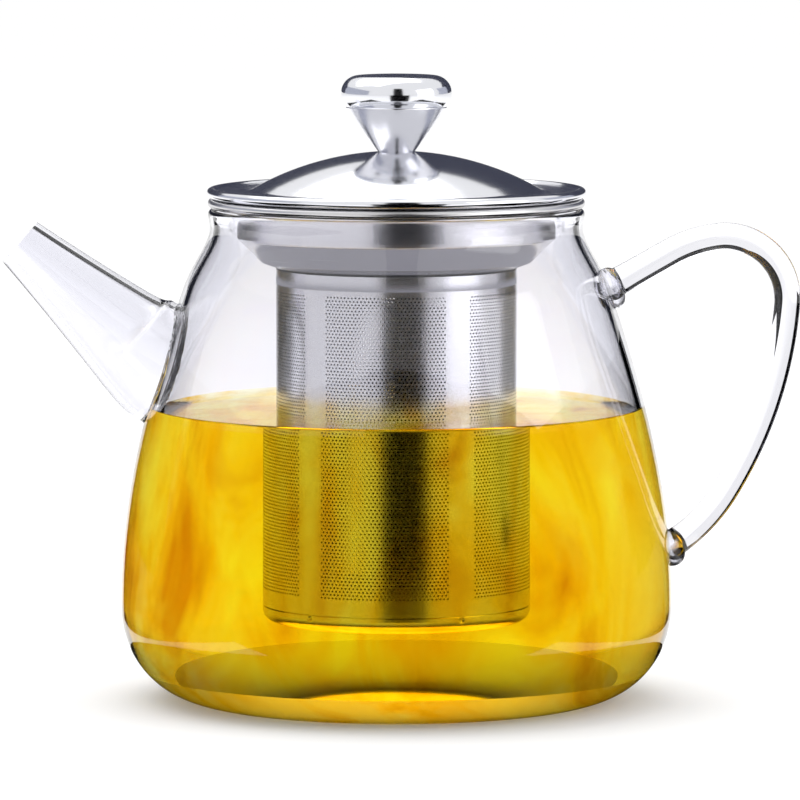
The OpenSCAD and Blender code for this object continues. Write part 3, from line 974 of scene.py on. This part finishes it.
def perforated_sector(centre_angle):
    """One fifth of the filter wall: a lattice of half pitches, with a hexagonal hole in each cell used.

    Lattice point (j, i) is at an angle proportional to i and a height that grows with j. A cell is two
    half pitches wide, and its six edge points are joined to the hole's six, inside and outside.
    """
    half_pitch = PANEL_SPAN / (2 * HOLES_ACROSS)
    strip = (360 / PANELS - PANEL_SPAN) / 2
    across = np.arange(2 * HOLES_ACROSS + 1) * half_pitch - PANEL_SPAN / 2
    outside = strip * np.arange(1, STRIP_STEPS + 1) / STRIP_STEPS
    across = np.concatenate([-PANEL_SPAN / 2 - outside[::-1], across, PANEL_SPAN / 2 + outside])
    first_z = BASE_LOW[2] + FIRST_HOLES_UP
    last_z = TUBE_HIGH[2] - LAST_HOLES_DOWN
    rows = round((last_z - first_z) / ROW_PITCH)
    heights = np.concatenate([[TUBE_LOW[2]], np.linspace(first_z, last_z, rows + 1), [TUBE_HIGH[2]]])
    lines, columns = len(heights), len(across)

    row = np.repeat(np.arange(1, rows + 1), HOLES_ACROSS)
    column = np.tile(STRIP_STEPS + 1 + 2 * np.arange(HOLES_ACROSS), rows) + (row + 1) % 2
    fits = column + 1 <= STRIP_STEPS + 2 * HOLES_ACROSS
    row, column = row[fits], column[fits]
    holes = len(row)

    edge_j = row[:, None] + np.array([0, 1, 1, 1, 0, 0])
    edge_i = column[:, None] + np.array([1, 1, 0, -1, -1, 0])
    edge = edge_j * columns + edge_i
    corner_angle = np.radians([-30, 30, 90, 150, 210, 270])
    middle_z = (heights[row] + heights[row + 1]) / 2
    hole_angle = across[column][:, None] + np.degrees(HOLE_R / TUBE_R) * np.cos(corner_angle)
    hole_z = middle_z[:, None] + HOLE_R * np.sin(corner_angle)
    lattice_angle, lattice_z = np.meshgrid(across, heights)
    angle = np.radians(centre_angle + np.concatenate([lattice_angle.ravel(), hole_angle.ravel()]))
    z = np.concatenate([lattice_z.ravel(), hole_z.ravel()])
    outer = np.stack([TUBE_R * np.cos(angle), TUBE_R * np.sin(angle), z], axis=1)
    inner_r = TUBE_R - TUBE_WALL
    inner = np.stack([inner_r * np.cos(angle), inner_r * np.sin(angle), z], axis=1)
    skip = len(outer)

    rim = lines * columns + np.arange(holes * 6).reshape(holes, 6)
    next_edge = np.roll(edge, -1, axis=1)
    next_rim = np.roll(rim, -1, axis=1)
    around_hole = np.stack([edge, next_edge, next_rim, rim], axis=-1).reshape(-1, 4)
    hole_wall = np.stack([rim, next_rim, next_rim + skip, rim + skip], axis=-1).reshape(-1, 4)

    plain = np.ones((lines - 1, columns - 1), bool)
    plain[row, column - 1] = False
    plain[row, column] = False
    j, i = np.nonzero(plain)
    corner = j * columns + i
    flat = np.stack([corner, corner + 1, corner + 1 + columns, corner + columns], axis=-1)
    front = np.vstack([around_hole, flat])
    back = front[:, ::-1] + skip

    up = np.arange(lines - 1) * columns
    left = np.stack([up, up + columns, up + columns + skip, up + skip], axis=-1)
    right = (left + columns - 1)[:, ::-1]
    along = np.arange(columns - 1)
    bottom = np.stack([along, along + skip, along + 1 + skip, along + 1], axis=-1)
    top = (bottom + (lines - 1) * columns)[:, ::-1]
    inside = np.vstack([back, hole_wall, left, right, bottom, top])
    return np.vstack([outer, inner]), front, inside


def make_filter():
    """Filter wall in five equal sectors, each with its own panel of holes."""
    for number in range(PANELS):
        points, outside, inside = perforated_sector(FRONT_PANEL_AT + number * 360 / PANELS)
        wall = make_piece(f"filter_wall_{number + 1}", points, [outside, inside], PERFORATED, 30.0)
        # Inside faces and hole walls take the dark steel: painted shade
        wall.data.materials.append(PICKLED)
        finish = np.repeat([0, 1], [len(outside), len(inside)])
        wall.data.polygons.foreach_set("material_index", finish.astype(np.int32))
        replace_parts(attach(wall, "infuser"), "filter_tube")


def make_filter_base():
    """Drawn cap with a round corner, and a small pressed dimple under each plain strip."""
    low_z, high_z = BASE_LOW[2], BASE_HIGH[2]
    centre = [TUBE_R - BASE_CORNER, low_z + BASE_CORNER]
    side_z = np.linspace(low_z + BASE_CORNER, high_z - BASE_EDGE, 6)[1:]
    flat_r = np.linspace(0, centre[0], 6)[:-1]
    outer = np.vstack(
        [
            np.stack([flat_r, np.full(5, low_z)], axis=1),
            arc(centre, BASE_CORNER, -90, 0, 28),
            np.stack([np.full(5, TUBE_R), side_z], axis=1),
            [[TUBE_R - BASE_EDGE_MID[0], high_z - BASE_EDGE_MID[1]], [TUBE_R - BASE_EDGE, high_z]],
        ]
    )
    inner = np.vstack(
        [
            [[TUBE_R - TUBE_WALL, high_z]],
            arc(centre, BASE_CORNER - TUBE_WALL, 0, -90, 28),
            [[0, low_z + TUBE_WALL]],
        ]
    )
    points, faces = turned(np.vstack([outer, inner]), BASE_ROUND)
    strips = np.radians(FRONT_PANEL_AT + (np.arange(PANELS) + 0.5) * 360 / PANELS)
    angle = np.arctan2(points[:, 1], points[:, 0])
    apart = (angle[:, None] - strips + np.pi) % (2 * np.pi) - np.pi
    away = np.hypot(apart * TUBE_R, (points[:, 2] - low_z - DIMPLE_UP)[:, None]).min(axis=1)
    radius = np.hypot(points[:, 0], points[:, 1])
    dent = DIMPLE_DEPTH * np.exp(-((away / DIMPLE_R) ** 2)) * (radius > TUBE_R - BASE_CORNER)
    points[:, :2] *= (1 - dent / np.maximum(radius, 1))[:, None]
    cap = make_piece("filter_base_cap", points, faces, PERFORATED)
    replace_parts(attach(cap, "infuser"), "filter_base")


def make_lid():
    """Lid: rolled rim, sunken flange, and a spherical dome with a flat seat for the knob."""
    middle_r = ROLL_R - SHEET_T / 2
    roll_z = LID_LOW[2] + ROLL_R
    roll_r = LID_R - ROLL_R
    flange_z = roll_z + ROLL_R - FLANGE_DROP - SHEET_T / 2
    dome_r = LID_R - FLANGE_W
    ball_r = (dome_r**2 + DOME_RISE**2) / (2 * DOME_RISE)
    ball_z = flange_z + DOME_RISE - ball_r
    seat_z = CONE_LOW[2] - SHEET_T / 2
    foot_angle = math.degrees(math.acos(dome_r / ball_r))
    seat_angle = math.degrees(math.asin((seat_z - ball_z) / ball_r))
    roll = rolled_edge([roll_r, roll_z], middle_r)
    start_r, side_r, end_r = (roll_r - inward for inward in LID_STEP)
    top_z = roll_z + middle_r
    step = curve([start_r, top_z], [side_r, top_z], [side_r, flange_z], [end_r, flange_z], 8)
    dome_start = dome_point(ball_r, ball_z, foot_angle + LID_FOOT_TURN)
    foot = rounded([[end_r, flange_z], [dome_r, flange_z], dome_start], [LID_FOOT_R])
    dome = arc([0, ball_z], ball_r, foot_angle + LID_FOOT_TURN, seat_angle, 48)
    seat = [[HUB_HOLE_R, seat_z]]
    middle = np.vstack([roll, step, foot[:-1], dome, seat])
    make_turned("lid_dome", sheet(middle), POLISHED, "lid", "lid_shell", 50.0)


def dome_point(ball_r, ball_z, angle):
    """The point (r, z) on the dome's sphere at an angle above its equator."""
    return [ball_r * math.cos(math.radians(angle)), ball_z + ball_r * math.sin(math.radians(angle))]


def make_knob():
    """Knob: a thin cone and a crowned cap that meet in a fine seam."""
    seat_z = CONE_LOW[2]
    edge_r, edge_z, seam = KNOB_SEAM_R, KNOB_SEAM_Z, KNOB_SEAM
    slope = (edge_r - KNOB_NECK_R) / (edge_z - seat_z)
    cone = np.array(
        [
            [KNOB_NECK_R - KNOB_WALL, seat_z],
            [KNOB_NECK_R - seam, seat_z],
            [KNOB_NECK_R, seat_z + seam],
            [edge_r - slope * seam, edge_z - seam],
            [edge_r - seam, edge_z],
            [edge_r - KNOB_WALL, edge_z],
        ]
    )
    make_turned("knob_cone_shell", cone, SATIN, "lid", "knob_cone")
    knob_r, top_z = CAP_HIGH[0], CAP_HIGH[2]
    wide_z = top_z - KNOB_CROWN - KNOB_CORNER
    out, up, down = KNOB_SIDE_PULL
    low_pull, high_pull = [edge_r + out, edge_z + up], [knob_r, wide_z - down]
    side = curve([edge_r, edge_z], low_pull, high_pull, [knob_r, wide_z], 16)
    corner = arc([knob_r - KNOB_CORNER, wide_z], KNOB_CORNER, 0, KNOB_CORNER_TURN, 24)
    crown = curve(corner[-1], corner[-1] + KNOB_CROWN_PULL, [KNOB_CROWN_FLAT, top_z], [0, top_z], 14)[1:]
    outer = np.vstack([[[edge_r - seam, edge_z]], side[1:], corner, crown, [[0, top_z]]])
    inner = moved(outer[1:-1], KNOB_WALL)[::-1]
    inner = np.vstack([[[0, top_z - KNOB_WALL]], inner, [[edge_r - KNOB_WALL, edge_z]]])
    cap = np.vstack([inner, outer])
    make_turned("knob_cap_shell", cap, POLISHED, "lid", "knob_cap")


def dress_hidden_nodes():
    """The inner pieces of the lid keep their CAD meshes and get their finishes."""
    finishes = {
        "lid_skirt": BRUSHED,
        "knob_insert": FASTENER,
        "knob_screw": FASTENER,
        "knob_washer": FASTENER,
    }
    for name, finish in finishes.items():
        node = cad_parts[name]
        if not node.material_slots:
            node.data.materials.append(finish)
        for slot in node.material_slots:
            slot.material = finish


make_camera()
make_world()
make_stage()
make_body()
make_spout()
make_handle()
make_button(
    "handle_pad",
    (SHOULDER_R, SHOULDER_Z),
    90 - math.degrees(math.atan(SHOULDER_LEAN)),
    PAD_R,
    PAD_T,
    "handle_upper_pad",
)
make_button(
    "handle_bead",
    (body_r(LOWER_ROOT_Z), LOWER_ROOT_Z),
    90.0,
    BEAD_R,
    BEAD_T,
    "handle_lower_bead",
)
make_tea()
make_collar()
make_filter()
make_filter_base()
make_lid()
make_knob()
dress_hidden_nodes()

bpy.context.scene.view_settings.view_transform = "Standard"
